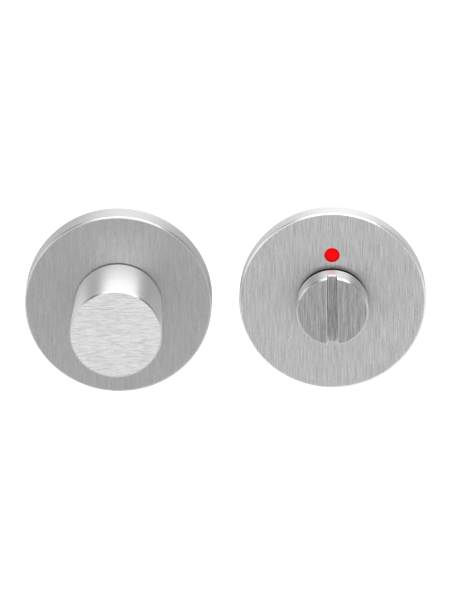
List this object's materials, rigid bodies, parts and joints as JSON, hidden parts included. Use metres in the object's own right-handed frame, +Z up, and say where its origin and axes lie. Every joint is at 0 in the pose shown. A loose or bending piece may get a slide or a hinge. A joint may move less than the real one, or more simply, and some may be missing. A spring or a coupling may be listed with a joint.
{
  "type": "bathroom thumb turn lock",
  "caption": "Bathroom thumb turn with square spindle and matching emergency release with occupied indicator, on round roses.",
  "frame": {"origin": "on the thumb turn's axis, in the plane of the backs of both halves, which is the door's face", "axes": "+X from the thumb turn's axis to the release's axis, +Y into the door, -Y out of it towards the viewer, +Z up"},
  "size_m": [0.1116, 0.0804, 0.052],
  "materials": {
    "rose_steel": "satin, upright grain",
    "knob_steel": "satin, grain across the front",
    "release_steel": "satin, upright grain",
    "zinc_steel": "bright zinc plating",
    "spring_steel": "dark phosphated",
    "black_steel": "black oxide",
    "plate_nylon": "moulded, fine texture",
    "bush_nylon": "natural, smooth",
    "disc_plastic": "moulded",
    "red_plastic": "signal red",
    "green_plastic": "signal green"
  },
  "bodies": {
    "root": {"turn_rose_cover": "rose_steel", "turn_mounting_plate": "plate_nylon", "turn_bearing_bush": "bush_nylon", "fixing_screws": "zinc_steel", "release_rose_cover": "rose_steel", "release_mounting_plate": "plate_nylon", "release_bearing_bush": "bush_nylon", "threaded_sleeves": "zinc_steel", "stop_pin": "zinc_steel"},
    "thumb_turn": {"drive_sleeve": "zinc_steel", "turn_thrust_washer": "zinc_steel", "turn_wave_washer": "spring_steel", "turn_circlip": "spring_steel", "square_spindle": "zinc_steel", "spindle_pin": "spring_steel", "thumb_knob": "knob_steel", "knob_grub_screw": "black_steel"},
    "release": {"release_turn": "release_steel", "indicator_disc": "disc_plastic", "red_marker": "red_plastic", "green_marker": "green_plastic", "release_thrust_washer": "zinc_steel", "release_wave_washer": "spring_steel", "release_circlip": "spring_steel"}
  },
  "joints": [
    {"name": "thumb_turn_hinge", "type": "hinge", "parent": "root", "child": "thumb_turn", "pos_m": [0, 0, 0], "axis": [0, -1, 0], "range_deg": [-90, 0]},
    {"name": "release_hinge", "type": "hinge", "parent": "root", "child": "release", "pos_m": [0.0596, 0, 0], "axis": [0, -1, 0], "range_deg": [0, 90]}
  ]
}
